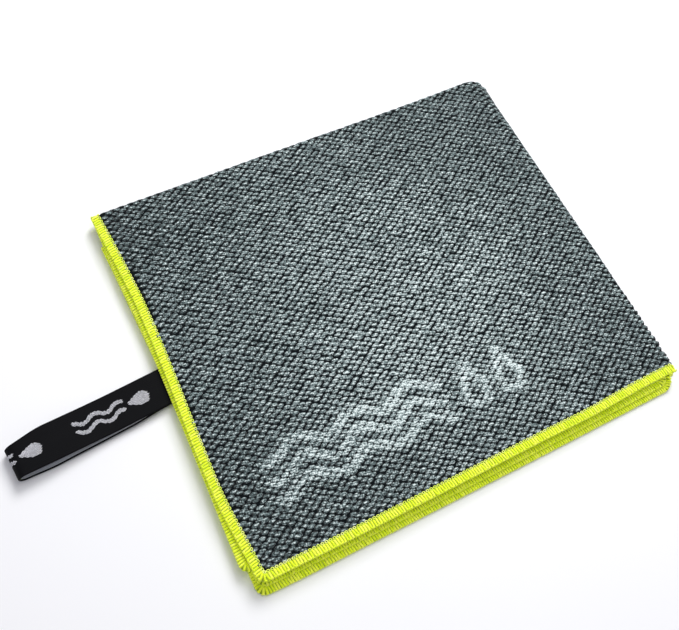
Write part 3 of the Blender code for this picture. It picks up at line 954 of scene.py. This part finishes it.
def stitchHem(name, frames, seed):
    core = sweep("hem_core_" + name, frames, ringSection(hem["width"] - 0.7, hem["height"] - 0.5, 3.0, 16))
    core.data.materials.append(threadCoreLook)
    path = pathMesh("hemPath", frames)
    stitched = []
    for label, shape, pitch, jitter, look in (("wraps", loopShape, thread["pitch"], 1.0, threadLook),
                                              ("chain", chainShape, hem["pitch"], 0.6, chainLook),
                                              ("knots", edgeShape, hem["pitch"], 1.0, threadLook)):
        values = {"Stitch": shape, "Pitch": pitch * mm, "Size Jitter": thread["sizeJitter"] * jitter,
                  "Turn Jitter": math.radians(thread["turnJitter"]) * jitter, "Seed": seed, "Finish": look}
        stitched.append(growOn(path, stitchTree, values, "hem_" + label + "_" + name))
        restOnFloor(stitched[-1])
    drop(path)
    print("  ", name, [len(s.data.polygons) for s in stitched])
    return [core] + stitched


hemNodes = {
    "lower": ["overlock_left_bottom", "overlock_left_second_front", "overlock_left_second_back",
              "overlock_left_turn_lower", "overlock_front_bottom", "overlock_front_second"],
    "upper": ["overlock_left_third", "overlock_left_top", "overlock_left_turn_upper",
              "overlock_front_third", "overlock_front_top"],
}
hemPieces = {}
for half in ("lower", "upper"):
    hemPieces[half] = stitchHem(half, halfHem(half), 20 if half == "lower" else 21)
    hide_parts(*hemNodes[half])
    for piece in hemPieces[half]:
        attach(piece, half + "_half")
for part in ("outer", "inner"):
    hemPieces["turn_" + part] = stitchHem("turn_" + part, foldHem(part), 22)
    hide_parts("overlock_front_turn_" + part)
    for piece in hemPieces["turn_" + part]:
        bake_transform(piece)

print("towel: hanging loop")
loop = {
    "width": 20.0, "thick": 1.1, "skew": 4.0, "cords": 20, "cordRise": 0.05,
    "tipFrom": 58.0, "tipLength": 22.0,     # where the tip starts to narrow, and over what length
    "tipBack": 2.6, "tipFront": 0.3,        # by how much at its two edges
    "lowerShift": 1.0, "samples": 70, "flatMiddle": 20.0,
    # (out from the hinge, height of the upper ply's middle, height of the lower's)
    "profile": [(-8.0, 3.9, 2.9), (1.2, 4.0, 2.9), (17.0, 4.0, 2.52), (27.6, 4.13, 2.1), (38.2, 4.78, 1.74),
                (48.7, 5.74, 1.61), (59.3, 6.73, 1.19), (69.9, 7.49, 0.75), (74.6, 7.68, 0.64)],
}
loopHinge = jointPlace("loop_swing")


def bandPath():  # (out, height) of the band's middle, from the root out along the top and back below
    reach = [p[0] for p in loop["profile"]]
    upper = profileOf([(p[0], p[1]) for p in loop["profile"]])
    lower = profileOf([(p[0], p[2]) for p in loop["profile"]])
    outs = np.linspace(reach[0], reach[-1], loop["samples"])
    path = [(u, float(upper(u))) for u in outs]
    topZ, lowZ = float(upper(reach[-1])), float(lower(reach[-1]))
    middle, radius = (topZ + lowZ) / 2, (topZ - lowZ) / 2
    for angle in np.linspace(90, -90, 21)[1:-1]:
        a = math.radians(angle)
        path.append((reach[-1] + radius * 1.14 * math.cos(a), middle + radius * math.sin(a)))
    path += [(u, float(lower(u))) for u in outs[::-1]]
    return np.array(path)


def bandPlaces(path, across, lift):  # band coordinates to the row's metres
    skew = math.radians(loop["skew"])
    step = np.gradient(path, axis=0)
    step /= np.linalg.norm(step, axis=1, keepdims=True)
    normal = np.stack([-step[:, 1], step[:, 0]], -1)  # outward: up on the top ply, down on the lower
    out = path[:, None, 0] + normal[:, None, 0] * lift
    height = path[:, None, 1] + normal[:, None, 1] * lift
    # the tip is drawn in, more at the back, and the lower ply lies a little further forward
    near = smoothStep((out - loop["tipFrom"]) / loop["tipLength"])
    across = across + near * np.where(across < 0, loop["tipBack"], -loop["tipFront"]) * np.abs(across) / 10
    below = np.clip(-normal[:, None, 1], 0, 1)
    across = across + loop["lowerShift"] * below * smoothStep(out / 20) * smoothStep((78 - out) / 20)
    x = loopHinge[0] - out * math.cos(skew) + across * math.sin(skew)
    y = loopHinge[1] - out * math.sin(skew) - across * math.cos(skew)
    return np.stack([x, y, height + 0 * across], -1) * mm, normal


def makeBand():
    path = bandPath()
    length = np.concatenate([[0], np.cumsum(np.linalg.norm(np.diff(path, axis=0), axis=1))])
    half = loop["width"] / 2
    places = np.linspace(-half, half, loop["cords"] * 4 + 1)
    turns = loop["cords"] * (places + half) / loop["width"]
    ribs = loop["cordRise"] * np.cos(2 * math.pi * turns + math.pi)
    edge = np.clip((half - np.abs(places)) / 0.6, 0, 1)
    full = loop["thick"] / 2 * np.sqrt(np.clip(1 - (1 - edge) ** 2, 0.12, 1))
    outer = full + ribs * edge
    over, _ = bandPlaces(path, places[None, :], outer[None, :])
    under, _ = bandPlaces(path, places[None, :], -full[None, :])
    rows, columns = over.shape[:2]
    count = rows * columns
    faces = gridFaces(rows, columns) + gridFaces(rows, columns, count, True)
    for j in range(rows - 1):
        for i in (0, columns - 1):
            a, b = j * columns + i, (j + 1) * columns + i
            faces.append((a, b, b + count, a + count))
    for j in (0, rows - 1):
        for i in range(columns - 1):
            a = j * columns + i
            faces.append((a, a + 1, a + 1 + count, a + count))
    made = meshObject("elastic_band", np.concatenate([over.reshape(-1, 3), under.reshape(-1, 3)]), faces)
    flat = np.zeros((rows, columns, 3))
    flat[..., 0] = length[:, None]
    flat[..., 1] = places[None, :] + loop["flatMiddle"]
    addVectors(made.data, "flatPlace", np.concatenate([flat, flat]).reshape(-1, 3) * mm)
    made.data.materials.append(elasticLook)
    made.data.materials.append(elasticBackLook)
    closeNormals(made)
    edged = np.abs(places) > half - 0.55
    inner = [all(v >= count and not edged[(v - count) % columns] for v in p.vertices)
             for p in made.data.polygons]
    for polygon, isInner in zip(made.data.polygons, inner):
        polygon.material_index = 1 if isInner else 0
    # the outer face again, for the woven marks to sit on
    normal, tangent = gridNormals(np.moveaxis(over, 0, 1))
    normal, tangent = np.moveaxis(normal, 0, 1), np.moveaxis(tangent, 0, 1)
    if normal[10, 10, 2] < 0:
        normal = -normal
    lifted = (over + normal * 0.02 * mm).reshape(-1, 3)
    carrier = meshObject("band_carrier", lifted, gridFaces(rows, columns))
    addVectors(carrier.data, "flatPlace", flat.reshape(-1, 3) * mm)
    addVectors(carrier.data, "outFrom", normal.reshape(-1, 3))
    addVectors(carrier.data, "along", tangent.reshape(-1, 3))
    return made, carrier, length, path


band, bandCarrier, bandLength, bandMiddle = makeBand()


def bandFlat(out):  # flat place of a point this far out on the upper ply
    ply = slice(0, loop["samples"])
    return float(np.interp(out, bandMiddle[ply, 0], bandLength[ply]))


floats = {
    "pitchAlong": 0.95, "pitchAcross": 0.42, "grain": (1.0, 0.36, 0.14), "reach": 1.0, "across": 18.0,
    "repeat": 57.0, "repeats": 3, "dropAt": 11.5, "dropSizes": (4.7, 3.1, 1.5),
    "waves": (20.0, 45.0), "waveRows": (-2.4, 2.4), "waveHeight": 1.25, "waveLength": 12.5,
}
# the woven mark: two plain waves between drops, repeated along the band
wovenLines = []
for start in [bandFlat(0) + floats["repeat"] * k for k in range(floats["repeats"])]:
    for size in floats["dropSizes"]:
        drawn = dropLine(0, 0, size)
        wovenLines.append([(start + floats["dropAt"] + y, loop["flatMiddle"] + x) for x, y in drawn])
    for row in floats["waveRows"]:
        drawn = waveLine(*floats["waves"], loop["flatMiddle"] + row, floats["waveHeight"],
                         floats["waveLength"], 66)
        wovenLines.append([(start + x, y) for x, y in drawn])
wovenMark = motifLines("wovenMark", wovenLines)
floatShape = makeGrain("yarnFloat", 2.2, 6)
floatValues = {
    "Grain": floatShape, "Motif": wovenMark,
    "Columns": int(bandLength[-1] / floats["pitchAlong"]),
    "Rows": int(floats["across"] / floats["pitchAcross"]),
    "Pitch Along": floats["pitchAlong"] * mm, "Pitch Across": floats["pitchAcross"] * mm,
    "First": (1.0 * mm, (loop["flatMiddle"] - floats["across"] / 2) * mm, 0),
    "Grain Size": [v * mm for v in floats["grain"]],
    "Size Jitter": 0.06, "Place Jitter": 0.03 * mm, "Turn": 0.0, "Turn Jitter": math.radians(4),
    "Motif Reach": floats["reach"] * mm, "Motif Grain": (1, 1, 1), "Motif Only": True, "Seed": 9,
    "Finish": floatLook,
}
wovenFloats = growOn(bandCarrier, grainTree, floatValues, "elastic_woven_mark")
restOnFloor(wovenFloats)
drop(bandCarrier)
print("   woven mark", len(wovenFloats.data.polygons), "faces")
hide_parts("elastic_loop", "elastic_tail")
for piece in (band, wovenFloats):
    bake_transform(piece)

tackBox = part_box("bar_tack")
tackFrames = hemFrames([((tackBox[0][0] + tackBox[1][0]) / 2 / mm - stack["left"],
                         lerp(tackBox[0][1], tackBox[1][1], k / 20) / mm - stack["front"],
                         tackBox[0][2] / mm + 0.1) for k in range(21)], [(0, 0, 1)] * 21)
tackPath = pathMesh("tackPath", tackFrames)
tackShape = makeBead("tackStitch", (0, 0.1), (2.0, 0.62, 0.34), 0.5, 6, 4)
tack = growOn(tackPath, stitchTree, {"Stitch": tackShape, "Pitch": 0.62 * mm, "Size Jitter": 0.05,
                                     "Turn Jitter": math.radians(9), "Seed": 31, "Finish": tackLook},
              "bar_tack_stitches")
drop(tackPath)
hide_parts("bar_tack")
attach(tack, "lower_half")

drop(grainShape, floatShape, loopShape, chainShape, edgeShape, tackShape, markLines, noLines, wovenMark)

print("towel: floor and light")
studio = {
    "world": 0.37, "sky": (0.92, 0.92, 1.0, 1.0),
    # name, place, aim, size, power
    "lamps": [("backRight", (0.55, 0.62, 0.85), (0.05, 0.0, 0.0), 0.6, 12.2),
              ("overhead", (-0.05, 0.05, 1.2), (0.0, 0.0, 0.0), 0.9, 2.0),
              ("nearOverhead", (0.06, 0.03, 0.42), (0.05, 0.0, 0.0), 0.22, 0.32)],
}


def makeStudio():
    bpy.context.scene.view_settings.view_transform = "Standard"
    world = bpy.data.worlds.new("studio")
    bpy.context.scene.world = world
    world.use_nodes = True
    sky = world.node_tree.nodes["Background"]
    sky.inputs["Color"].default_value = studio["sky"]
    sky.inputs["Strength"].default_value = studio["world"]
    floor = meshObject("floor", [(-3, -3, -0.0001), (3, -3, -0.0001), (3, 3, -0.0001), (-3, 3, -0.0001)],
                       [(0, 1, 2, 3)], smooth=False)
    # matt white studio paper: a flat pale field with the faintest mottling
    material, tree, shader = newMaterial("studioPaper", {"Roughness": 0.9, "Specular IOR Level": 0.1})
    place = addNode(tree, "ShaderNodeTexCoord").outputs["Object"]
    mottle = addNode(tree, "ShaderNodeTexNoise", {"Scale": 3.0}, {"Vector": place})
    paper = addNode(tree, "ShaderNodeValToRGB", {"stops": [(0.0, "#F4F4F6"), (1.0, "#F8F8F9")]}, {
        "Fac": mottle.outputs["Fac"]})
    tree.links.new(paper.outputs[0], shader.inputs["Base Color"])
    floor.data.materials.append(material)
    for name, place, aim, size, power in studio["lamps"]:
        data = bpy.data.lights.new(name, "AREA")
        data.shape = "DISK"
        data.size = size
        data.energy = power
        lamp = bpy.data.objects.new(name, data)
        lamp.location = place
        lamp.rotation_euler = (Vector(aim) - Vector(place)).to_track_quat("-Z", "Y").to_euler()
        bpy.context.scene.collection.objects.link(lamp)


makeStudio()
